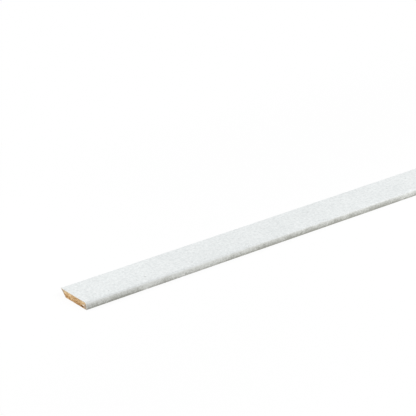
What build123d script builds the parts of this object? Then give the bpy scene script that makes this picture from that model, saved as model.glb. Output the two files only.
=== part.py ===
"""A skirting board: one length of flat, white coated board with a moulded section.

It lies on its back. X runs along the board, +Y points to the undercut floor edge,
-Y to the rounded top edge, and +Z out of the face. The origin is under its middle.
"""

import os

from build123d import *

# Driving dimensions, in millimetres
board_length = 2400
board_width = 58
board_thickness = 10
top_edge_radius = 4
undercut_run = 11
lip_thickness = 0.4

# Places that follow from them
top_edge = -board_width / 2
floor_edge = board_width / 2
back_corner = floor_edge - undercut_run
lip_underside = board_thickness - lip_thickness
round_start = board_thickness - top_edge_radius

# The section stands across the board, with its face up and its back on the ground
section_plane = Plane.YZ.offset(-board_length / 2)

with BuildPart() as skirting_board:
    with BuildSketch(section_plane):
        with BuildLine():
            # Flat back, then the undercut that leans out to the thin lip at the face
            back = Line((top_edge, 0), (back_corner, 0))
            undercut = Line(back @ 1, (floor_edge, lip_underside))
            lip = Line(undercut @ 1, (floor_edge, board_thickness))
            # Flat face, then the quarter round down to the top edge
            face = Line(lip @ 1, (top_edge + top_edge_radius, board_thickness))
            rounding = RadiusArc(face @ 1, (top_edge, round_start), -top_edge_radius)
            Line(rounding @ 1, back @ 0)
        make_face()
    extrude(amount=board_length)

skirting_board.part.label = "skirting_board"

os.makedirs("parts", exist_ok=True)
export_step(skirting_board.part, "parts/skirting_board.step")
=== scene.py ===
# %% [markdown]
# A skirting board, dressed in Blender
#
# The piece is one length of chipboard moulding. Its face, its rounded top edge and its near
# side have a white coat with a faint stipple, and its back and its two sawn ends show the
# bare chips. The lesson goes in the order of the work: the frame, the finishes, the board
# itself, its texture layout, and last the studio.

# %% Load the frame
import math

import bmesh
import bpy
import numpy as np
from mathutils import Matrix, Vector


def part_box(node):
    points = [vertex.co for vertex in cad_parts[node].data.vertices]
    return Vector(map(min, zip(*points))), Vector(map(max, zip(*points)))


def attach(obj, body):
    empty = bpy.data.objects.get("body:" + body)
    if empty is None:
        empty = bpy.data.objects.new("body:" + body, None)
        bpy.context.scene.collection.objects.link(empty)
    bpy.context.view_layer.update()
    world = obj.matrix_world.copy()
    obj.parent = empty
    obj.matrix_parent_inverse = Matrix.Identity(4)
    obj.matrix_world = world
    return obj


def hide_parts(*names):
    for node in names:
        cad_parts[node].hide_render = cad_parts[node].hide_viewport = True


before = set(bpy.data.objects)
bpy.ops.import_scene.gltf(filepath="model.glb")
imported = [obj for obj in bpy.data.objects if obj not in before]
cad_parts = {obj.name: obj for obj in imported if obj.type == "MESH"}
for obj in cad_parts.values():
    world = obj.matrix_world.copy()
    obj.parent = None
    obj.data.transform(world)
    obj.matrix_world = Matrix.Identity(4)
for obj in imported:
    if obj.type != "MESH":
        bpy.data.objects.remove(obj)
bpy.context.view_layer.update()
NODE = "skirting_board"
MM = 0.001

# %% [markdown]
# The section
#
# A dressed piece has to keep the size of the solid that it stands for. The sizes could be
# typed in again, but then they would go wrong when the solid changes. So they are measured
# here on the corners of the solid: the lip is what is left at the far edge, the undercut is
# how far the back stops short of it, and the radius is where the flat face begins.

# %% Measure the section on the solid
NEAR = 0.01 * MM
corners = np.array([corner.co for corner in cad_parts[NODE].data.vertices])
across, up = corners[:, 1], corners[:, 2]
low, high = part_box(NODE)
length, width, thickness = high - low
on_back = up < low.z + NEAR
on_face = up > high.z - NEAR
on_lip = across > high.y - NEAR
undercut_run = float(high.y - across[on_back].max())
lip_thickness = float(high.z - up[on_lip].min())
edge_radius = float(across[on_face].min() - low.y)
print(
    f"length {length / MM:.0f}, width {width / MM:.1f}, thickness {thickness / MM:.1f},",
    f"radius {edge_radius / MM:.2f}, undercut {undercut_run / MM:.2f}, lip {lip_thickness / MM:.2f} mm",
)

# %% [markdown]
# Sums as nodes
#
# The board's shape and its finishes are both formulas, and Blender holds a formula as a
# chain of Math nodes. Placing each node by hand hides the sum that it stands for. The small
# class below wraps a socket, so that an ordinary Python sum such as a * 2 + b adds the nodes,
# in a geometry tree and in a shader tree alike.


# %% Add and link nodes
def plug(tree, socket, value):
    """Links a socket to a field or another socket, or sets a plain value on it."""
    if isinstance(value, Field):
        value = value.socket
    if isinstance(value, bpy.types.NodeSocket):
        tree.links.new(value, socket)
    else:
        socket.default_value = value


def add_node(tree, kind, inputs=None, **settings):
    """Adds a node, with its settings and what goes into its named inputs."""
    made = tree.nodes.new(kind)
    for name, value in settings.items():
        setattr(made, name, value)
    for name, value in (inputs or {}).items():
        plug(tree, made.inputs[name], value)
    return made


print("nodes can be added and linked in one line")


# %% A number that nodes work out
class Field:
    """A number that nodes work out. Arithmetic on it adds Math nodes to its tree."""

    def __init__(self, tree, socket):
        self.tree = tree
        self.socket = socket

    def math(self, operation, *others):
        made = self.tree.nodes.new("ShaderNodeMath")
        made.operation = operation
        for socket, value in zip(made.inputs, (self, *others)):
            plug(self.tree, socket, value)
        return Field(self.tree, made.outputs[0])

    def __add__(self, other):
        return self.math("ADD", other)

    def __sub__(self, other):
        return self.math("SUBTRACT", other)

    def __rsub__(self, other):
        return (self * -1.0) + other

    def __mul__(self, other):
        return self.math("MULTIPLY", other)

    def __truediv__(self, other):
        return self.math("DIVIDE", other)

    def __rtruediv__(self, other):
        return self.math("POWER", -1.0) * other

    def clamped(self):
        return self.math("MINIMUM", 1.0).math("MAXIMUM", 0.0)

    def ramp(self, start, end):
        """0 up to start, 1 from end on, and smooth between them."""
        inputs = {"Value": self, "From Min": start, "From Max": end}
        made = add_node(self.tree, "ShaderNodeMapRange", inputs, interpolation_type="SMOOTHSTEP")
        return Field(self.tree, made.outputs["Result"])


trial = bpy.data.node_groups.new("trial", "ShaderNodeTree")
number = Field(trial, trial.nodes.new("ShaderNodeValue").outputs[0])
total = number * 2.0 + 1.0
print("a * 2 + 1 became", len(trial.nodes) - 1, "nodes, the last of them", total.socket.node.operation)
bpy.data.node_groups.remove(trial)


# %% Vectors and noise
def split_vector(tree, vector):
    """The x, y and z of a vector socket, as fields."""
    made = add_node(tree, "ShaderNodeSeparateXYZ", {"Vector": vector})
    return [Field(tree, socket) for socket in made.outputs]


def join_vector(tree, x, y, z):
    """A vector socket from three fields or numbers."""
    return add_node(tree, "ShaderNodeCombineXYZ", {"X": x, "Y": y, "Z": z}).outputs[0]


def noise(tree, vector, feature_size, detail=2.0, roughness=0.5):
    """Smooth noise from 0 to 1, with blobs of about the given size in metres."""
    scale = 1.0 / feature_size
    inputs = {"Vector": vector, "Scale": scale, "Detail": detail, "Roughness": roughness}
    return Field(tree, add_node(tree, "ShaderNodeTexNoise", inputs).outputs[0])


def cells(tree, vector, scale=1.0, **settings):
    """A flat Voronoi pattern: each cell has a random colour and a distance."""
    inputs = {"Vector": vector, "Scale": scale}
    return add_node(tree, "ShaderNodeTexVoronoi", inputs, voronoi_dimensions="2D", **settings).outputs


print("patterns to build with: noise and cells")

# %% [markdown]
# Chips
#
# Chipboard is glued wood chips, pressed flat, so a saw cut across it shows long thin flakes
# that lie along the board's width, with splinters between them and a few small pits. A
# Voronoi pattern that is stretched along one axis gives each chip a cell with a shade of its
# own. One such pattern looks like a stone wall, because its cells never lie over each other.
# So there are two: some of the large cells are flakes, and elsewhere the splinters show. The
# same recipe is used twice: in a shader group for the colour, and in a geometry tree for the
# torn relief, so that a dark pit in the colour is also a real pit in the mesh.

# %% One layer of chips
SWAY_SIZE, SWAY_REACH = 5.0 * MM, 2.4 * MM
FRAY_SIZE, FRAY_ALONG, FRAY_OVER = 0.6 * MM, 0.2, 0.4


def chip_layer(tree, flat, chip_length, chip_height):
    """One layer of chips: a shade and a chance for each chip, and how far inside it a spot lies."""
    along, over, _ = split_vector(tree, flat)
    sway = noise(tree, flat, SWAY_SIZE) - 0.5
    fray = noise(tree, flat, FRAY_SIZE) - 0.5
    cell_along = along / chip_length + fray * FRAY_ALONG
    cell_over = (over + sway * SWAY_REACH) / chip_height + fray * FRAY_OVER
    cell_at = join_vector(tree, cell_along, cell_over, 0.0)
    shade, chance, _ = split_vector(tree, cells(tree, cell_at)["Color"])
    inside = cells(tree, cell_at, feature="DISTANCE_TO_EDGE")["Distance"]
    return shade, chance, Field(tree, inside)


print(f"chips sway by {SWAY_REACH / 2 / MM:.1f} mm at most, and fray every {FRAY_SIZE / MM:.1f} mm")

# %% Flakes over splinters
FLAKE_SHARE, FLAKE_EDGE = 0.55, 0.06
PIT_SHARE, PIT_EDGE = 0.10, 0.15
SPLINTER_LENGTH, SPLINTER_HEIGHT = 0.40, 0.42


def chip_pattern(tree, flat, chip_length, chip_height):
    """The shade of each chip from 0 to 1, and 1 in the pits."""
    flake_shade, flake_chance, flake_inside = chip_layer(tree, flat, chip_length, chip_height)
    splinter_shade, splinter_chance, splinter_inside = chip_layer(
        tree, flat, chip_length * SPLINTER_LENGTH, chip_height * SPLINTER_HEIGHT
    )
    on_flake = flake_chance.math("LESS_THAN", FLAKE_SHARE) * flake_inside.ramp(0.0, FLAKE_EDGE)
    is_pit = splinter_chance.math("LESS_THAN", PIT_SHARE) * splinter_inside.ramp(0.0, PIT_EDGE)
    return splinter_shade + (flake_shade - splinter_shade) * on_flake, is_pit * (1.0 - on_flake)


print(f"{FLAKE_SHARE:.0%} of the large cells are flakes, and {PIT_SHARE:.0%} of the splinters are pits")

# %% The chips as a shader group
FIBRE_SIZE, FIBRE_DETAIL = 0.3, 4.0
BATCH_SIZE = 5.0 * MM
CHIP_SHADE, FIBRE_SHADE, BATCH_SHADE, LEAST_SHADE = 0.55, 0.25, 0.90, 0.08
CHIP_RISE, FIBRE_RISE, PIT_DROP = 0.5, 0.6, 0.8


def new_group(name, inputs, outputs):
    """An empty shader group with named sockets, its input node and its output node."""
    tree = bpy.data.node_groups.new(name, "ShaderNodeTree")
    for in_out, sockets in (("INPUT", inputs), ("OUTPUT", outputs)):
        for socket_name, kind in sockets.items():
            tree.interface.new_socket(name=socket_name, in_out=in_out, socket_type="NodeSocket" + kind)
    return tree, tree.nodes.new("NodeGroupInput"), tree.nodes.new("NodeGroupOutput")


def make_chip_group():
    """The chips with their fibres: a shade, the pits and a height."""
    inputs = {"Flat": "Vector", "Chip Length": "Float", "Chip Height": "Float"}
    outputs = {"Shade": "Float", "Pit": "Float", "Height": "Float"}
    tree, given, result = new_group("wood_chips", inputs, outputs)
    flat = given.outputs["Flat"]
    chip_length = Field(tree, given.outputs["Chip Length"])
    chip_height = Field(tree, given.outputs["Chip Height"])
    chip, pit = chip_pattern(tree, flat, chip_length, chip_height)
    along, over, _ = split_vector(tree, flat)
    combed = join_vector(tree, along / chip_length, over / chip_height, 0.0)
    fibre = noise(tree, combed, FIBRE_SIZE, FIBRE_DETAIL)
    batch = noise(tree, flat, BATCH_SIZE) - 0.5
    shade = chip * CHIP_SHADE + fibre * FIBRE_SHADE + batch * BATCH_SHADE + LEAST_SHADE
    plug(tree, result.inputs["Shade"], shade)
    plug(tree, result.inputs["Pit"], pit)
    plug(tree, result.inputs["Height"], chip * CHIP_RISE + fibre * FIBRE_RISE - pit * PIT_DROP)
    return tree


chip_group = make_chip_group()
print("shader group", chip_group.name, "has", len(chip_group.nodes), "nodes")

# %% [markdown]
# The coat's stipple
#
# The coat is a thin white finish with a stipple like fine orange peel, and with a few grey
# specks. It could be one flat white, but in raking light the real face is never even.
# Two noises make the stipple. The specks are the cells of a Voronoi pattern, shrunk to dots.
# That pattern is flat: it takes its second axis from y and z together, so that it also runs
# over the rounding and down the side. The group puts out a tone, a height and the specks,
# because the same coat also laps round onto the back.

# %% The coat as a shader group
CLOUD_SIZE, CLOUD_TONE = 40 * MM, 0.3
STIPPLE_SIZE, STIPPLE_DETAIL, STIPPLE_RISE = 3.6 * MM, 1.5, 0.7
PORE_SIZE, PORE_DETAIL, PORE_TONE, PORE_RISE = 1.5 * MM, 1.0, 0.8, 0.3
SPECK_SPACING, SPECK_RADIUS, FAINTEST_SPECK = 26 * MM, 1.4 * MM, 0.3
SPECK_FADE = (0.4, 1.4)


def speck_pattern(tree, place):
    """1 in the middle of the darkest specks. Specks differ in size and in depth."""
    x, y, z = split_vector(tree, place)
    ragged = (noise(tree, place, SPECK_RADIUS) - 0.5) * SPECK_RADIUS
    skin = join_vector(tree, x + ragged, y + z - ragged, 0.0)
    dots = cells(tree, skin, 1.0 / SPECK_SPACING)
    chance, depth, _ = split_vector(tree, dots["Color"])
    from_dot = Field(tree, dots["Distance"]) * SPECK_SPACING
    darkness = depth * (1.0 - FAINTEST_SPECK) + FAINTEST_SPECK
    return darkness * (1.0 - (from_dot / (chance * SPECK_RADIUS)).ramp(*SPECK_FADE))


def make_coat_group():
    """The coat's tone about 0, its height from 0 to 1 and its specks."""
    outputs = {"Tone": "Float", "Height": "Float", "Speck": "Float"}
    tree, given, result = new_group("stippled_coat", {"Place": "Vector"}, outputs)
    place = given.outputs["Place"]
    cloud = noise(tree, place, CLOUD_SIZE) - 0.5
    stipple = noise(tree, place, STIPPLE_SIZE, STIPPLE_DETAIL)
    pore = noise(tree, place, PORE_SIZE, PORE_DETAIL)
    plug(tree, result.inputs["Tone"], cloud * CLOUD_TONE + (stipple - 0.5) + (pore - 0.5) * PORE_TONE)
    plug(tree, result.inputs["Height"], stipple * STIPPLE_RISE + pore * PORE_RISE)
    plug(tree, result.inputs["Speck"], speck_pattern(tree, place))
    return tree


coat_group = make_coat_group()
print("shader group", coat_group.name, "has", len(coat_group.nodes), "nodes")

# %% [markdown]
# A finish as a material
#
# The board has three finishes: the white coat, the sawn ends and the bare back. Each could
# be painted into a picture, but a picture has one scale and shows its pixels close up. Here
# each is one Principled BSDF whose colour and roughness come from nodes. They read Object
# coordinates, so the pattern sits on the board and doesn't slide when the board is moved.


# %% A new material
def empty_material(name):
    """A material with no nodes yet, and its tree."""
    material = bpy.data.materials.new(name)
    material.use_nodes = True
    material.node_tree.nodes.clear()
    return material, material.node_tree


def new_material(name):
    """A material, its tree, its Principled BSDF and the place on the object as a socket."""
    material, tree = empty_material(name)
    shader = tree.nodes.new("ShaderNodeBsdfPrincipled")
    output = tree.nodes.new("ShaderNodeOutputMaterial")
    tree.links.new(shader.outputs["BSDF"], output.inputs["Surface"])
    place = tree.nodes.new("ShaderNodeTexCoord").outputs["Object"]
    return material, tree, shader, place


def place_group(tree, group, inputs):
    """A group in a tree; its outputs come back as fields by name."""
    made = add_node(tree, "ShaderNodeGroup", inputs, node_tree=group)
    return {socket.name: Field(tree, socket) for socket in made.outputs}


print("groups to place in a material:", [group.name for group in (chip_group, coat_group)])


# %% Colours and fine relief
def mix_colour(tree, share, first, second):
    """A colour socket that goes from the first colour to the second as share goes from 0 to 1."""
    made = add_node(tree, "ShaderNodeMix", {"Factor": share}, data_type="RGBA", clamp_factor=True)
    colour_inputs = [socket for socket in made.inputs if socket.type == "RGBA"]
    for socket, colour in zip(colour_inputs, (first, second)):
        plug(tree, socket, colour)
    return next(socket for socket in made.outputs if socket.type == "RGBA")


def colour_ramp(tree, value, stops):
    """A colour socket that follows a list of (place, colour) stops."""
    made = add_node(tree, "ShaderNodeValToRGB", {"Fac": value})
    elements = made.color_ramp.elements
    while len(elements) < len(stops):
        elements.new(1.0)
    for element, (where, colour) in zip(elements, stops):
        element.position = where
        element.color = colour
    return made.outputs["Color"]


def bump(tree, shader, height, depth):
    """Fine relief that only the light sees; depth is the height of 1 in metres."""
    made = add_node(tree, "ShaderNodeBump", {"Height": height, "Strength": 1.0, "Distance": depth})
    plug(tree, shader.inputs["Normal"], made.outputs["Normal"])


print("a colour can be mixed or follow stops, and relief finer than the mesh is a bump")

# %% [markdown]
# The white coat
#
# The coat is white and even on the face. Down the near side it has a warmer tint and a darker mottle,
# and it is darkened by painted shade towards the floor, with a narrow painted contact shadow along the
# low edge. A second material for the side would leave a hard line where the two meet. So one material
# measures how far down the side each spot lies and mixes in the darker colour there. Two noises make
# that uneven: long blotches, and a finer mottle. The blotches are slid along the board until the darker
# stretches lie about where the photograph shows them.

# %% Colour of the coat
COAT_LIGHT = (0.900, 0.925, 0.925, 1.0)
COAT_DARK = (0.700, 0.730, 0.732, 1.0)
TONE_GAIN = 1.5
SPECK_GREY, SPECK_STRENGTH = (0.42, 0.43, 0.42, 1.0), 0.8


def coat_colour(tree, coat):
    """The coat's colour from the tone and specks that its group puts out."""
    toned = mix_colour(tree, 0.5 - coat["Tone"] * TONE_GAIN, COAT_LIGHT, COAT_DARK)
    return mix_colour(tree, coat["Speck"] * SPECK_STRENGTH, toned, SPECK_GREY)


print("coat between", COAT_DARK[:3], "and", COAT_LIGHT[:3])

# %% White coat
COAT_SIDE, SIDE_TINT = (0.900, 0.905, 0.845, 1.0), 0.6
# The darker side colour: it carries the mottle, the painted shade low on the side and the painted
# contact shadow
SIDE_DARK_AND_SHADE, SIDE_DARK_BASE = (0.450, 0.454, 0.412, 1.0), 0.20
SIDE_REACH = 0.4 * edge_radius
# Painted shade: the side darkens towards the floor, with a narrow painted contact shadow along its low
# edge
LOW_SHADE_FROM, LOW_SHADE_TO, LOW_SHADE = 1.5 * MM, 7.5 * MM, 0.34
CONTACT_SHADOW_FROM, CONTACT_SHADOW_TO, CONTACT_SHADOW = 1.0 * MM, 2.8 * MM, 0.50
BLOTCH_SIZE, BLOTCH_DETAIL, BLOTCH_SHIFT = 60.0 * MM, 3.0, 6006.0 * MM
BLOTCH_GAIN, STIPPLE_GAIN = 2.2, 1.0
MOTTLE_SIZE, MOTTLE_DETAIL, MOTTLE_ROUGHNESS, MOTTLE_GAIN = 9.0 * MM, 3.0, 0.65, 1.2
UNEVEN_HIGH, UNEVEN_LOW = 0.8, 0.5
COAT_ROUGHNESS, ROUGHNESS_SWING = 0.46, 0.2
COAT_BUMP = 0.22 * MM


def make_white_coat():
    """White on the face; down the near side warmer and mottled, with painted shade towards the floor
    and a painted contact shadow at the low edge.
    """
    material, tree, shader, place = new_material("white_coat")
    coat = place_group(tree, coat_group, {"Place": place})
    x, y, z = split_vector(tree, place)
    on_side = 1.0 - (y + width / 2).ramp(0.0, SIDE_REACH)
    # painted shade towards the floor, and a painted contact shadow along the low edge
    painted_low_shade = 1.0 - z.ramp(LOW_SHADE_FROM, LOW_SHADE_TO)
    painted_contact_shadow = 1.0 - z.ramp(CONTACT_SHADOW_FROM, CONTACT_SHADOW_TO)
    slid = join_vector(tree, x + BLOTCH_SHIFT, y, z)
    blotch = noise(tree, slid, BLOTCH_SIZE, BLOTCH_DETAIL) - 0.5
    strength = painted_low_shade * UNEVEN_LOW + UNEVEN_HIGH
    uneven = (blotch * BLOTCH_GAIN - coat["Tone"] * STIPPLE_GAIN) * strength
    mottle = noise(tree, place, MOTTLE_SIZE, MOTTLE_DETAIL, MOTTLE_ROUGHNESS) - 0.5
    side_darkening = painted_low_shade * LOW_SHADE + painted_contact_shadow * CONTACT_SHADOW + uneven + mottle * MOTTLE_GAIN + SIDE_DARK_BASE
    tinted = mix_colour(tree, on_side * SIDE_TINT, coat_colour(tree, coat), COAT_SIDE)
    plug(tree, shader.inputs["Base Color"], mix_colour(tree, on_side * side_darkening, tinted, SIDE_DARK_AND_SHADE))
    plug(tree, shader.inputs["Roughness"], coat["Tone"] * ROUGHNESS_SWING + COAT_ROUGHNESS)
    bump(tree, shader, coat["Height"], COAT_BUMP)
    return material


white_coat = make_white_coat()
print("material", white_coat.name, "has", len(white_coat.node_tree.nodes), "nodes")

# %% [markdown]
# The sawn ends
#
# The saw cuts through chips and coat alike, so a pale rim of coat runs round the chips on three sides.
# The sharp tip and the low near corner are greyer than the rest, and by that corner one chip is torn
# out and a pale one lies bare. The pits and the torn-out hole are darkened with painted shade. The rim
# could be a strip of its own, but the real one is no separate piece. Instead a formula says how deep
# each spot lies under the coated outline, and the rim is where that is little.

# %% Places on a sawn end
COAT_THICKNESS = 0.7 * MM
FAR_END_SHIFT = 0.37


def flat_of_end(tree, place):
    """The place on a sawn end as a flat vector. The two ends get different chips."""
    x, y, z = split_vector(tree, place)
    return join_vector(tree, y + x.math("SIGN") * FAR_END_SHIFT, z, 0.0)


def depth_under_coat(tree, place):
    """How far a spot of the section lies under the face, the rounding or the near side."""
    _, y, z = split_vector(tree, place)
    past_side = edge_radius - (y + width / 2)
    past_face = edge_radius - (thickness - z)
    corner_y = past_side.math("MAXIMUM", 0.0)
    corner_z = past_face.math("MAXIMUM", 0.0)
    corner = (corner_y * corner_y + corner_z * corner_z).math("SQRT")
    return edge_radius - corner - past_side.math("MAXIMUM", past_face).math("MINIMUM", 0.0)


print("the coat is", COAT_THICKNESS / MM, "mm thick where it is cut")

# %% Single spots on the near end
TORN_OUT = [(9.4 * MM, 1.9 * MM, 2.8 * MM, 1.1 * MM)]
PALE_CHIPS = [(6.4 * MM, 4.2 * MM, 2.6 * MM, 1.4 * MM)]
SPOT_FRAY_SIZE, SPOT_FRAY = 1.3 * MM, 0.9
SPOT_EDGE = (0.8, 1.1)


def spots_on_end(tree, place, spots):
    """1 on ragged spots. A spot is (distance from the near side, height, half length, half height)."""
    x, y, z = split_vector(tree, place)
    fray = (noise(tree, place, SPOT_FRAY_SIZE) - 0.5) * SPOT_FRAY
    near_end = x.math("LESS_THAN", 0.0)
    found = near_end * 0.0
    for from_side, over, half_length, half_height in spots:
        along_y = (y + (width / 2 - from_side)) / half_length
        along_z = (z - over) / half_height
        reach = (along_y * along_y + along_z * along_z).math("SQRT") + fray
        found = found.math("MAXIMUM", 1.0 - reach.ramp(*SPOT_EDGE))
    return found * near_end


print(len(TORN_OUT), "torn spot and", len(PALE_CHIPS), "pale chip")

# %% Colour of the chips
SAWN_CHIP = (3.6 * MM, 1.0 * MM)
CHIP_TONES = [
    (0.18, (0.38, 0.200, 0.075, 1.0)),
    (0.38, (0.63, 0.365, 0.150, 1.0)),
    (0.58, (0.80, 0.505, 0.235, 1.0)),
    (0.82, (0.95, 0.720, 0.430, 1.0)),
]
# Painted light and shade: the chips pale towards the face and darken low on the sawn end
EVEN_HEIGHT, PAINTED_SHADING_UP = 0.4, 0.36
# Painted shade in the pits and in the torn-out hole, on top of their real depth in the mesh
PIT_SHADE_BROWN, PIT_SHADE, TORN_SHADE = (0.16, 0.085, 0.035, 1.0), 0.75, 0.85
PALE_CHIP, PALE_STRENGTH = (0.97, 0.86, 0.75, 1.0), 0.85


def sawn_wood(tree, place, chips):
    """The bare chips, paler towards the face and darker low down as painted light and shade, with pits
    darkened by painted shade and the single spots.
    """
    _, _, z = split_vector(tree, place)
    # painted light and shade: paler towards the face, darker low down
    wood = colour_ramp(tree, chips["Shade"] + (z / thickness - EVEN_HEIGHT) * PAINTED_SHADING_UP, CHIP_TONES)
    # painted shade in the pits, and below in the torn-out hole
    wood = mix_colour(tree, chips["Pit"] * PIT_SHADE, wood, PIT_SHADE_BROWN)
    wood = mix_colour(tree, spots_on_end(tree, place, PALE_CHIPS) * PALE_STRENGTH, wood, PALE_CHIP)
    return mix_colour(tree, spots_on_end(tree, place, TORN_OUT) * TORN_SHADE, wood, PIT_SHADE_BROWN)


print("flakes about", SAWN_CHIP[0] / MM, "mm long, in", len(CHIP_TONES), "tones")

# %% Sawn end
TIP_CORNER_GREY, TIP_CORNER_STRENGTH = (0.52, 0.450, 0.375, 1.0), 0.85
TIP_LENGTH = 9.0 * MM
CORNER_WIDTH, CORNER_LEAN = 7.0 * MM, 0.3
GREY_FULL_SHARE = 0.45
CUT_COAT = (0.85, 0.70, 0.54, 1.0)
RIM_FROM, RIM_TO, RIM_FRAY = 0.7 * COAT_THICKNESS, 0.9 * COAT_THICKNESS, 0.5 * COAT_THICKNESS
RIM_FRAY_SIZE = 1.2 * MM
SAWN_ROUGHNESS, CHIP_GLOSS = 0.9, 0.15
SAWN_BUMP = 0.15 * MM


def make_sawn_end():
    """Bare chips, greyer at the tip and the low corner, inside the rim of the cut coat."""
    material, tree, shader, place = new_material("sawn_chipboard")
    flat = flat_of_end(tree, place)
    inputs = {"Flat": flat, "Chip Length": SAWN_CHIP[0], "Chip Height": SAWN_CHIP[1]}
    chips = place_group(tree, chip_group, inputs)
    _, y, z = split_vector(tree, place)
    in_tip = 1.0 - (width / 2 - y).ramp(GREY_FULL_SHARE * TIP_LENGTH, TIP_LENGTH)
    from_corner = y + width / 2 + z * CORNER_LEAN
    in_corner = 1.0 - from_corner.ramp(GREY_FULL_SHARE * CORNER_WIDTH, CORNER_WIDTH)
    greyer = in_tip.math("MAXIMUM", in_corner) * TIP_CORNER_STRENGTH
    wood = mix_colour(tree, greyer, sawn_wood(tree, place, chips), TIP_CORNER_GREY)
    rim_edge = noise(tree, place, RIM_FRAY_SIZE) * RIM_FRAY + RIM_TO
    in_rim = 1.0 - depth_under_coat(tree, place).ramp(RIM_FROM, rim_edge)
    plug(tree, shader.inputs["Base Color"], mix_colour(tree, in_rim, wood, CUT_COAT))
    plug(tree, shader.inputs["Roughness"], SAWN_ROUGHNESS - chips["Shade"] * CHIP_GLOSS)
    bump(tree, shader, chips["Height"], SAWN_BUMP)
    return material


sawn_end = make_sawn_end()
print("material", sawn_end.name, "has", len(sawn_end.node_tree.nodes), "nodes")

# %% [markdown]
# The back
#
# The back goes against the wall, so it is left bare: the pressed face of the chipboard, with
# larger chips than the cut shows, and duller. The coat laps round its two long edges and
# stops in a ragged line. A straight line would be quicker, but it would look like tape.

# %% Bare back
BACK_CHIP = (7.0 * MM, 2.2 * MM)
BACK_TONES = [
    (0.15, (0.40, 0.260, 0.130, 1.0)),
    (0.45, (0.56, 0.390, 0.215, 1.0)),
    (0.85, (0.70, 0.520, 0.310, 1.0)),
]
# Painted shade in the pits of the back
BACK_PIT_SHADE = 0.4
LAP_LEAST, LAP_SWING = 0.66 * MM, 3.08 * MM
LAP_FRAY_SIZE, LAP_DETAIL, LAP_EDGE = 9 * MM, 4.0, 0.8
BACK_ROUGHNESS, LAP_GLOSS = 0.88, 0.3
BACK_BUMP = 0.08 * MM


def make_bare_back():
    """Dull chips, with the coat lapped round both long edges."""
    material, tree, shader, place = new_material("bare_back")
    inputs = {"Flat": place, "Chip Length": BACK_CHIP[0], "Chip Height": BACK_CHIP[1]}
    chips = place_group(tree, chip_group, inputs)
    coat = place_group(tree, coat_group, {"Place": place})
    wood = colour_ramp(tree, chips["Shade"], BACK_TONES)
    wood = mix_colour(tree, chips["Pit"] * BACK_PIT_SHADE, wood, PIT_SHADE_BROWN)
    _, y, _ = split_vector(tree, place)
    from_edge = (y + width / 2).math("MINIMUM", width / 2 - y)
    lap = noise(tree, place, LAP_FRAY_SIZE, LAP_DETAIL) * LAP_SWING + LAP_LEAST
    lapped = 1.0 - (from_edge / lap).ramp(LAP_EDGE, 1.0)
    plug(tree, shader.inputs["Base Color"], mix_colour(tree, lapped, wood, coat_colour(tree, coat)))
    plug(tree, shader.inputs["Roughness"], BACK_ROUGHNESS - lapped * LAP_GLOSS)
    bump(tree, shader, chips["Height"], BACK_BUMP)
    return material


bare_back = make_bare_back()
print("material", bare_back.name, "has", len(bare_back.node_tree.nodes), "nodes")

# %% [markdown]
# The board as a rule
#
# The board is one section carried along a straight line. Sweeping a profile curve would
# do, but its ends would be single flat faces with no points to tear. Instead a block with
# a net of points is bent into the section: each level of the block runs from a point on the
# left outline, which goes up the side and round the edge, to a point on the right outline,
# which goes up the undercut and the lip. The end faces need a finer net than the rest, so
# their edges are divided while the block is still square. The faces next to them only gain
# corners, and so the mesh stays closed.


# %% Start and end a geometry tree
def new_geometry_tree(name, numbers, counts, materials):
    """A geometry tree with named inputs; the inputs come back as sockets and as fields by name."""
    tree = bpy.data.node_groups.new(name, "GeometryNodeTree")
    tree.interface.new_socket(name="Geometry", in_out="INPUT", socket_type="NodeSocketGeometry")
    tree.interface.new_socket(name="Geometry", in_out="OUTPUT", socket_type="NodeSocketGeometry")
    for names, kind in ((numbers, "Float"), (counts, "Int"), (materials, "Material")):
        for socket_name in names:
            tree.interface.new_socket(name=socket_name, in_out="INPUT", socket_type="NodeSocket" + kind)
    given = tree.nodes.new("NodeGroupInput").outputs
    numeric = (*numbers, *counts)
    fields = {socket.name: Field(tree, socket) for socket in given if socket.name in numeric}
    return tree, given, fields


def end_tree(tree, shape, finishes):
    """Ends a tree: real geometry, then each finish on the faces of its region."""
    shape = add_node(tree, "GeometryNodeRealizeInstances", {"Geometry": shape}).outputs[0]
    for finish, region in finishes:
        inputs = {"Geometry": shape, "Material": finish}
        if region:
            inputs["Selection"] = region
        shape = add_node(tree, "GeometryNodeSetMaterial", inputs).outputs[0]
    plug(tree, tree.nodes.new("NodeGroupOutput").inputs["Geometry"], shape)


def run_tree(piece, tree, values):
    """Gives a piece the tree's result as its own mesh, with no modifier left."""
    modifier = piece.modifiers.new(tree.name, "NODES")
    modifier.node_group = tree
    for item in tree.interface.items_tree:
        if item.in_out == "INPUT" and item.name in values:
            modifier[item.identifier] = values[item.name]
    depsgraph = bpy.context.evaluated_depsgraph_get()
    made = bpy.data.meshes.new_from_object(piece.evaluated_get(depsgraph), depsgraph=depsgraph)
    piece.modifiers.clear()
    # A mesh that came in without a material leaves an empty first slot
    if made.materials[0] is None:
        made.materials.pop(index=0)
    piece.data = made


print("a tree is started, ended and run by three helpers")

# %% A block with a net of points
BLOCK_STEPS = {"Steps Along": 1000, "Steps Across": 20, "Steps Side": 6, "Steps Round": 8}


def make_block_tree():
    """A block of size 1 with a point for each step, and one more at each end of a row."""
    tree, given, steps = new_geometry_tree("net_block", {}, BLOCK_STEPS, ["Coat"])
    inputs = {
        "Size": (1.0, 1.0, 1.0),
        "Vertices X": steps["Steps Along"] + 1.0,
        "Vertices Y": steps["Steps Across"] + 1.0,
        "Vertices Z": steps["Steps Side"] + steps["Steps Round"] + 1.0,
    }
    block = add_node(tree, "GeometryNodeMeshCube", inputs)
    end_tree(tree, block.outputs["Mesh"], [(given["Coat"], None)])
    return tree


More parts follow.
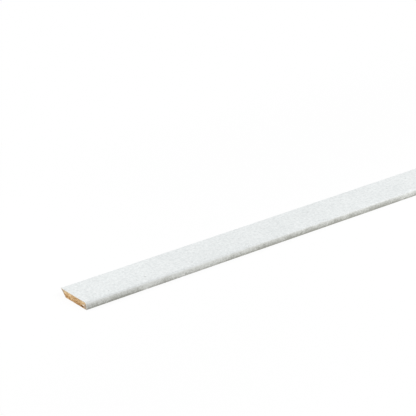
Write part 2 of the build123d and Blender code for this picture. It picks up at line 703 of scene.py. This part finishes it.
board = bpy.data.objects.new("coated_board", bpy.data.meshes.new("coated_board"))
bpy.context.scene.collection.objects.link(board)
run_tree(board, make_block_tree(), {**BLOCK_STEPS, "Coat": white_coat})
print("block:", len(board.data.polygons), "faces")

# %% A finer net on the ends
CUTS_ACROSS, CUTS_UP = 5, 1
FACING_ENDS = 0.9
ACROSS, UP = 1, 2
QUAD_CORNERS = 4


def refine_ends(mesh):
    """Divides the edges of the block's two end faces into a finer net."""
    net = bmesh.new()
    net.from_mesh(mesh)
    for cuts, axis in ((CUTS_ACROSS, ACROSS), (CUTS_UP, UP)):
        end_faces = [face for face in net.faces if abs(face.normal.x) > FACING_ENDS]
        end_edges = {edge for face in end_faces for edge in face.edges}
        chosen = [edge for edge in end_edges if edge.verts[0].co[axis] != edge.verts[1].co[axis]]
        bmesh.ops.subdivide_edges(net, edges=chosen, cuts=cuts, use_grid_fill=True)
    many_cornered = [face for face in net.faces if len(face.verts) > QUAD_CORNERS]
    bmesh.ops.triangulate(net, faces=many_cornered, ngon_method="BEAUTY")
    net.to_mesh(mesh)
    net.free()


refine_ends(board.data)
print("with finer ends:", len(board.data.polygons), "faces")

# %% [markdown]
# Bend, press and tear
#
# One tree turns the block into the board. It bends the block, presses the coat in by a
# little noise, so that the stipple is real along the rounding, where it breaks up the shade,
# and tears the sawn ends: every chip breaks at its own height, and a few come out. The tear
# uses the same chip recipe as the colour, so a dark gap is also a real pit. The cut edge of
# the coat stays in the plane of the saw, so the outline stays crisp. All of this only takes
# material away, and so the board stays inside its CAD box.

# %% Sizes of the board
BOARD_SIZES = {
    "Length": length,
    "Width": width,
    "Thickness": thickness,
    "Edge Radius": edge_radius,
    "Undercut Run": undercut_run,
    "Lip Thickness": lip_thickness,
    "Face Relief": 0.10 * MM,
    "Edge Relief": 0.35 * MM,
    "Relief Size": 6.0 * MM,
    "Chip Relief": 0.30 * MM,
    "Pit Relief": 0.40 * MM,
    "Torn Relief": 1.10 * MM,
}
BOARD_STEPS = {"Steps Side": BLOCK_STEPS["Steps Side"], "Steps Round": BLOCK_STEPS["Steps Round"]}
BOARD_FINISHES = {"Coat": white_coat, "Sawn": sawn_end, "Back": bare_back}
print("the board's tree has", len(BOARD_SIZES), "sizes and", len(BOARD_FINISHES), "finishes")


# %% Bend the block
def left_outline(level, sizes):
    """Up the near side and round the edge, as level goes from 0 to 1."""
    radius = sizes["Edge Radius"]
    side_share = sizes["Steps Side"] / (sizes["Steps Side"] + sizes["Steps Round"])
    on_side = (level / side_share).clamped()
    turn = ((level - side_share) / (1.0 - side_share)).clamped() * (math.pi / 2)
    left_y = sizes["Width"] * -0.5 + radius * (1.0 - turn.math("COSINE"))
    left_z = on_side * (sizes["Thickness"] - radius) + radius * turn.math("SINE")
    return left_y, left_z


def right_outline(level, sizes):
    """Up the undercut and, in the last step, up the lip."""
    steps_up = sizes["Steps Side"] + sizes["Steps Round"]
    lip_share = (steps_up - 1.0) / steps_up
    on_undercut = (level / lip_share).clamped()
    on_lip = ((level - lip_share) * steps_up).clamped()
    lip = sizes["Lip Thickness"]
    right_y = sizes["Width"] * 0.5 - sizes["Undercut Run"] * (1.0 - on_undercut)
    right_z = on_undercut * (sizes["Thickness"] - lip) + on_lip * lip
    return right_y, right_z


def bend_to_section(tree, share, sizes):
    """The place of a block's point on the board. share is its place in the block, from -0.5 to 0.5."""
    x, y, z = split_vector(tree, share)
    over = (y + 0.5).ramp(0.0, 1.0)
    left_y, left_z = left_outline(z + 0.5, sizes)
    right_y, right_z = right_outline(z + 0.5, sizes)
    board_y = left_y + (right_y - left_y) * over
    board_z = left_z + (right_z - left_z) * over
    return join_vector(tree, x * sizes["Length"], board_y, board_z)


print("the side takes", BOARD_STEPS["Steps Side"], "steps and the rounding", BOARD_STEPS["Steps Round"])

# %% Press the coat and tear the ends
EDGE_FACING = (0.05, 0.6)
UNDER_FACING = (-0.35, 0.0)
END_FACING = (0.3, 0.5)
TEAR_FROM, TEAR_TO = COAT_THICKNESS, 2.0 * COAT_THICKNESS


def press_of_coat(tree, position, normal, sizes):
    """How deep the coat is pressed in: a little on the face, and more on the rounding and the side."""
    facing_x, facing_y, facing_z = split_vector(tree, normal)
    edge_share = (facing_y * -1.0).ramp(*EDGE_FACING)
    off_ends = 1.0 - facing_x.math("ABSOLUTE").ramp(*END_FACING)
    coated = facing_z.ramp(*UNDER_FACING).math("MINIMUM", off_ends)
    deepest = sizes["Face Relief"] + (sizes["Edge Relief"] - sizes["Face Relief"]) * edge_share
    return deepest * coated * noise(tree, position, sizes["Relief Size"])


def tear_of_end(tree, position, sizes):
    """How deep a spot of a sawn end is torn. It is 0 in the coat's cut edge and off the ends."""
    x, _, _ = split_vector(tree, position)
    on_end = x.math("ABSOLUTE").math("GREATER_THAN", sizes["Length"] * 0.5 - NEAR)
    shade, pit = chip_pattern(tree, flat_of_end(tree, position), *SAWN_CHIP)
    torn = spots_on_end(tree, position, TORN_OUT)
    chips = (1.0 - shade) * sizes["Chip Relief"] + pit * sizes["Pit Relief"]
    inside = depth_under_coat(tree, position).ramp(TEAR_FROM, TEAR_TO)
    return (chips + torn * sizes["Torn Relief"]) * inside * on_end


deepest_tear = BOARD_SIZES["Chip Relief"] + BOARD_SIZES["Pit Relief"] + BOARD_SIZES["Torn Relief"]
print(f"a sawn end is torn by {deepest_tear / MM:.1f} mm at most")

# %% Keep a region and crisp edges
SHARP_ANGLE = math.radians(32)


def remember(tree, shape, domain, value):
    """Keeps a yes or no as it is now, for use after the shape has changed."""
    made = add_node(tree, "GeometryNodeCaptureAttribute", domain=domain)
    made.capture_items.new("BOOLEAN", "Kept")
    plug(tree, made.inputs[0], shape)
    plug(tree, made.inputs[1], value)
    return made.outputs[0], made.outputs[1]


def move_points(tree, shape, offset):
    """The shape with each point moved by a vector."""
    return add_node(tree, "GeometryNodeSetPosition", {"Geometry": shape, "Offset": offset}).outputs[0]


def sharpen(tree, shape):
    """The shape with a crisp shade wherever it turns by more than the sharp angle."""
    angle = Field(tree, tree.nodes.new("GeometryNodeInputMeshEdgeAngle").outputs["Unsigned Angle"])
    is_sharp = angle.math("GREATER_THAN", SHARP_ANGLE)
    inputs = {"Geometry": shape, "Selection": is_sharp, "Shade Smooth": False}
    return add_node(tree, "GeometryNodeSetShadeSmooth", inputs, domain="EDGE").outputs[0]


print(f"edges over {math.degrees(SHARP_ANGLE):.0f} degrees stay crisp")

# %% The geometry tree of the board
SAWN_FACING = 0.7
BACK_FACING = -0.3


def make_board_tree():
    """Bends the block, keeps which faces are sawn or bare, then presses and tears it."""
    tree, given, sizes = new_geometry_tree("board_section", BOARD_SIZES, BOARD_STEPS, BOARD_FINISHES)
    position = tree.nodes.new("GeometryNodeInputPosition").outputs[0]
    normal = tree.nodes.new("GeometryNodeInputNormal").outputs[0]
    inputs = {"Geometry": given["Geometry"], "Position": bend_to_section(tree, position, sizes)}
    shape = add_node(tree, "GeometryNodeSetPosition", inputs).outputs[0]
    facing_x, _, facing_z = split_vector(tree, normal)
    is_sawn = facing_x.math("ABSOLUTE").math("GREATER_THAN", SAWN_FACING)
    shape, sawn = remember(tree, shape, "FACE", is_sawn)
    shape, bare = remember(tree, shape, "FACE", facing_z.math("LESS_THAN", BACK_FACING))
    inputs = {"Vector": normal, "Scale": press_of_coat(tree, position, normal, sizes) * -1.0}
    pressed = add_node(tree, "ShaderNodeVectorMath", inputs, operation="SCALE").outputs[0]
    shape = move_points(tree, shape, pressed)
    x, _, _ = split_vector(tree, position)
    inwards = tear_of_end(tree, position, sizes) * x.math("SIGN") * -1.0
    shape = move_points(tree, shape, join_vector(tree, inwards, 0.0, 0.0))
    finishes = [(given["Coat"], None), (given["Back"], bare), (given["Sawn"], sawn)]
    end_tree(tree, sharpen(tree, shape), finishes)
    return tree


board_tree = make_board_tree()
print("geometry tree", board_tree.name, "has", len(board_tree.nodes), "nodes")

# %% Run the tree and keep a plain mesh
run_tree(board, board_tree, {**BOARD_SIZES, **BOARD_STEPS, **BOARD_FINISHES})
board.data.calc_loop_triangles()
finish_names = [finish.name for finish in board.data.materials]
print("board:", len(board.data.loop_triangles), "triangles in", finish_names)

# %% [markdown]
# The texture layout
#
# When the board is exported, its finishes are painted into one square picture. An automatic layout
# would shrink a board this long until its face is a few pixels wide. So the skin is unrolled here: it
# is cut into four lengths that lie one above another, each as a strip of coat and a strip of bare back,
# and the two ends lie on top at a larger scale.

# %% Distance round the section
undercut_rise = thickness - lip_thickness
undercut_length = math.hypot(undercut_run, undercut_rise)
back_width = width - undercut_run
COAT_STRIP = (thickness - edge_radius) + edge_radius * math.pi / 2 + (width - edge_radius)
BACK_STRIP = back_width + undercut_length
OFF_THE_BACK = 0.2 * MM
TINY = 1e-9


def along_coat(place):
    """How far up the side, round the edge and across the face each place lies."""
    from_side = place[:, 1] - low.y
    height = place[:, 2]
    past_side = np.maximum(edge_radius - from_side, TINY)
    past_face = np.maximum(edge_radius - (thickness - height), 0.0)
    up_side = np.minimum(height, thickness - edge_radius)
    round_edge = edge_radius * np.arctan2(past_face, past_side)
    return up_side + round_edge + np.maximum(from_side - edge_radius, 0.0)


def along_back(place):
    """How far across the back and up the undercut each place lies."""
    from_side = place[:, 1] - low.y
    height = place[:, 2]
    up_undercut = back_width + height * (undercut_length / undercut_rise)
    return np.where(height > OFF_THE_BACK, up_undercut, from_side)


print(
    f"the coat is {COAT_STRIP / MM:.1f} mm round the section,",
    f"and the bare part {BACK_STRIP / MM:.1f} mm",
)

# %% Places on the sheet
SHEET = 1024
SHEET_GAP = 6
LENGTHS = 4
SKIN_SCALE = 1.64 / MM
END_SCALE = 8.0 / MM
ROW_HEIGHT = (COAT_STRIP + BACK_STRIP) * SKIN_SCALE + 2 * SHEET_GAP
ROW_LENGTH = length / LENGTHS


def lay_skin(place, middle_x, is_coat):
    """Places on the sheet, in pixels, of the coat and the back."""
    row = np.clip((middle_x - low.x) // ROW_LENGTH, 0, LENGTHS - 1)
    row_start = SHEET_GAP + row * ROW_HEIGHT
    back_start = row_start + COAT_STRIP * SKIN_SCALE + SHEET_GAP
    on_coat = row_start + along_coat(place) * SKIN_SCALE
    on_back = back_start + along_back(place) * SKIN_SCALE
    sheet_x = SHEET_GAP + (place[:, 0] - low.x - row * ROW_LENGTH) * SKIN_SCALE
    return np.column_stack((sheet_x, np.where(is_coat, on_coat, on_back)))


def lay_ends(place, middle_x):
    """Places on the sheet, in pixels, of the two sawn ends, side by side over the skin."""
    start_x = np.where(middle_x < 0, SHEET_GAP, 2 * SHEET_GAP + width * END_SCALE)
    start_y = SHEET_GAP + LENGTHS * ROW_HEIGHT
    sheet_x = start_x + (place[:, 1] - low.y) * END_SCALE
    return np.column_stack((sheet_x, start_y + place[:, 2] * END_SCALE))


print("the skin lies in", LENGTHS, "rows,", round(ROW_HEIGHT), "pixels high")


# %% Unroll the skin
def read(items, name, shape, kind=float):
    """One property of a mesh's points, faces or corners, as an array."""
    values = np.empty(len(items) * math.prod(shape), kind)
    items.foreach_get(name, values)
    return values.reshape(-1, *shape)


def unroll(mesh):
    """Writes the layout into a UV map, and gives back how far it reaches on the sheet."""
    place = read(mesh.vertices, "co", (3,))[read(mesh.loops, "vertex_index", (), int)]
    face_corners = read(mesh.polygons, "loop_total", (), int)
    finish = np.repeat(read(mesh.polygons, "material_index", (), int), face_corners)
    middle_x = np.repeat(read(mesh.polygons, "center", (3,))[:, 0], face_corners)
    is_coat = finish == finish_names.index(white_coat.name)
    is_end = finish == finish_names.index(sawn_end.name)
    on_skin = lay_skin(place, middle_x, is_coat)
    on_sheet = np.where(is_end[:, None], lay_ends(place, middle_x), on_skin)
    layer = mesh.uv_layers.new(name="OFBake")
    layer.data.foreach_set("uv", on_sheet.ravel() / SHEET)
    return on_sheet.max(axis=0)


print("layout fills", unroll(board.data).round(), "of", SHEET, "pixels each way")

# %% [markdown]
# Riding on the frame
#
# The board has no joint, so it is all one body. The dressed board rides on that body and
# stands for the plain solid, which stays in the physics. Blender hides the solid.

# %% Ride
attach(board, "root")
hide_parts(NODE)
print(board.name, "rides on the root body in place of", NODE)

# %% [markdown]
# The floor
#
# The floor is pale and keeps a soft shadow, but the picture needs it white. More light would
# burn out the coat, so only rays from the camera, or from a mirror or glass, see the floor
# lifted towards white: nearly so beside the board, where its shadow falls, and fully further
# off. The board lies flat on it, and so the back would only ever be seen in the dark. For
# that view the floor is clear from below, and clear to rays that set out just above it, so
# that light from under the floor reaches the back.

# %% Shaders by the kind of ray
WHITE = (1.0, 1.0, 1.0, 1.0)


def seen_directly(tree):
    """1 for rays from the camera, a mirror or glass, and 0 for the light that bounces about."""
    rays = tree.nodes.new("ShaderNodeLightPath").outputs
    seen = Field(tree, rays["Is Camera Ray"])
    for kind in ("Is Glossy Ray", "Is Transmission Ray"):
        seen = seen.math("MAXIMUM", rays[kind])
    return seen


def mix_shaders(tree, share, first, second):
    """A shader that goes from the first to the second as share goes from 0 to 1."""
    made = tree.nodes.new("ShaderNodeMixShader")
    for socket, value in zip(made.inputs, (share, first, second)):
        plug(tree, socket, value)
    return made.outputs[0]


print("a shader can show one thing to the camera and another to bounced light")

# %% Floor material
FLOOR_TONE = (0.62, 0.62, 0.615, 1.0)
WHITE_LIFT, SHADOW_REACH = 0.90, (50 * MM, 500 * MM)
TOUCHING = 0.5 * MM


def lift_to_white(tree):
    """How white the floor is shown: WHITE_LIFT beside the board, and 1 out of its shadow's reach."""
    x, y, _ = split_vector(tree, tree.nodes.new("ShaderNodeTexCoord").outputs["Object"])
    past_end = x.math("ABSOLUTE") - length / 2
    past_side = y.math("ABSOLUTE") - width / 2
    far_off = past_end.math("MAXIMUM", past_side).ramp(*SHADOW_REACH)
    return far_off * (1.0 - WHITE_LIFT) + WHITE_LIFT


def make_floor_material():
    """Pale to bounced light, nearly white to the camera, and clear from below or very near."""
    material, tree = empty_material("pale_floor")
    bounced = add_node(tree, "ShaderNodeBsdfDiffuse", {"Color": FLOOR_TONE}).outputs[0]
    shaded = add_node(tree, "ShaderNodeBsdfDiffuse", {"Color": WHITE}).outputs[0]
    white = add_node(tree, "ShaderNodeEmission", {"Color": WHITE, "Strength": 1.0}).outputs[0]
    shown = mix_shaders(tree, lift_to_white(tree), shaded, white)
    above = mix_shaders(tree, seen_directly(tree), bounced, shown)
    from_below = Field(tree, tree.nodes.new("ShaderNodeNewGeometry").outputs["Backfacing"])
    ray_length = Field(tree, tree.nodes.new("ShaderNodeLightPath").outputs["Ray Length"])
    see_through = from_below.math("MAXIMUM", ray_length.math("LESS_THAN", TOUCHING))
    clear = tree.nodes.new("ShaderNodeBsdfTransparent").outputs[0]
    output = tree.nodes.new("ShaderNodeOutputMaterial")
    plug(tree, output.inputs["Surface"], mix_shaders(tree, see_through, above, clear))
    return material


pale_floor = make_floor_material()
print("floor tone", FLOOR_TONE[:3], "lifted by", WHITE_LIFT, "towards white for the camera")

# %% Floor
FLOOR_SIDE = 60.0
FLOOR_DROP = 0.02 * MM


def make_floor():
    """One wide square just under the board."""
    half = FLOOR_SIDE / 2
    rim = [(-half, -half), (half, -half), (half, half), (-half, half)]
    mesh = bpy.data.meshes.new("floor")
    mesh.from_pydata([(x, y, -FLOOR_DROP) for x, y in rim], [], [(0, 1, 2, 3)])
    mesh.materials.append(pale_floor)
    floor = bpy.data.objects.new("floor", mesh)
    bpy.context.scene.collection.objects.link(floor)


make_floor()
print("floor", FLOOR_SIDE, "m wide")

# %% [markdown]
# The light
#
# The near side is darkest beside the sawn end and gets lighter along the board, and only a
# faint shadow lies at its foot. One lamp overhead would light the whole side alike. So a
# short soft lamp stands behind the sawn end and leaves the near side there in shade, and a
# long one hangs in front of the rest, with its far end higher, so that the middle of the
# board isn't burnt out. A sky at under half strength fills in between them. Together they
# light the board at a plain level, at which a colour renders about as it is written, and so
# the finishes look right under other light too.

# %% Lamps
BACK_LAMP = {"middle": (-1.9, 0.6, 0.75), "size": (1.2, 0.5), "watts": 9.0, "tilt": 0.0}
FRONT_LAMP = {"middle": (0.4, -0.66, 1.15), "size": (2.5, 0.5), "watts": 17.6, "tilt": 0.2}


def make_lamp(name, middle, size, watts, tilt):
    """A soft lamp that is turned towards the board's line. tilt lifts its far end, in radians."""
    light = bpy.data.lights.new(name, "AREA")
    light.shape = "RECTANGLE"
    light.size, light.size_y = size
    light.energy = watts
    lamp = bpy.data.objects.new(name, light)
    lamp.location = middle
    lamp.rotation_euler = (-math.atan2(middle[1], middle[2]), -tilt, 0.0)
    bpy.context.scene.collection.objects.link(lamp)


make_lamp("back_lamp", **BACK_LAMP)
make_lamp("front_lamp", **FRONT_LAMP)
print("lamps of", BACK_LAMP["watts"], "and", FRONT_LAMP["watts"], "watts")

# %% Sky
SKY_LEVEL = 0.45


def make_sky():
    """A dim white sky that the camera sees as plain white."""
    world = bpy.data.worlds.new("studio")
    bpy.context.scene.world = world
    world.use_nodes = True
    tree = world.node_tree
    tree.nodes.clear()
    sky = add_node(tree, "ShaderNodeBackground", {"Color": WHITE, "Strength": SKY_LEVEL}).outputs[0]
    backdrop = add_node(tree, "ShaderNodeBackground", {"Color": WHITE, "Strength": 1.0}).outputs[0]
    output = tree.nodes.new("ShaderNodeOutputWorld")
    plug(tree, output.inputs["Surface"], mix_shaders(tree, seen_directly(tree), sky, backdrop))


make_sky()
print("sky at", SKY_LEVEL)

# %% [markdown]
# The camera
#
# The camera stands where the photograph was taken from. Its long lens, its angle and its
# distance were worked out from the two long edges, which run together towards the right,
# and from the slant of the sawn end. It is placed by one anchor: the lower near corner of
# the sawn end shows at a known pixel.

# %% Camera
IMAGE_SIDE = 416
FOCAL_PIXELS = 1800.0
SENSOR_MM = 36.0
ANCHOR_PIXEL = (86.39, 310.16)
ANCHOR_DISTANCE = 2.3436
VIEW_AZIMUTH = math.radians(-38.84)
VIEW_ELEVATION = math.radians(23.71)


def make_camera():
    """A camera that looks along the view angles and shows the anchor at its pixel."""
    level = math.cos(VIEW_ELEVATION)
    forward = Vector(
        (-math.sin(VIEW_AZIMUTH) * level, math.cos(VIEW_AZIMUTH) * level, -math.sin(VIEW_ELEVATION))
    )
    right = Vector((math.cos(VIEW_AZIMUTH), math.sin(VIEW_AZIMUTH), 0.0))
    upward = right.cross(forward)
    to_right = (ANCHOR_PIXEL[0] - IMAGE_SIDE / 2) / FOCAL_PIXELS
    to_top = (IMAGE_SIDE / 2 - ANCHOR_PIXEL[1]) / FOCAL_PIXELS
    anchor = Vector((low.x, low.y, low.z))
    place = anchor - ANCHOR_DISTANCE * (to_right * right + to_top * upward + forward)
    turn = Matrix((right, upward, -forward)).transposed().to_4x4()
    lens = bpy.data.cameras.new("camera")
    lens.sensor_width = SENSOR_MM
    lens.lens = SENSOR_MM * FOCAL_PIXELS / IMAGE_SIDE
    camera = bpy.data.objects.new("camera", lens)
    camera.matrix_world = Matrix.Translation(place) @ turn
    bpy.context.scene.collection.objects.link(camera)
    bpy.context.scene.camera = camera
    return camera


camera = make_camera()
print("camera at", [round(part, 3) for part in camera.matrix_world.translation])

# %% [markdown]
# Finish
#
# The Standard view shows each colour as it is, while Blender's own default would grey the white.

# %% Use the Standard view
bpy.context.scene.view_settings.view_transform = "Standard"
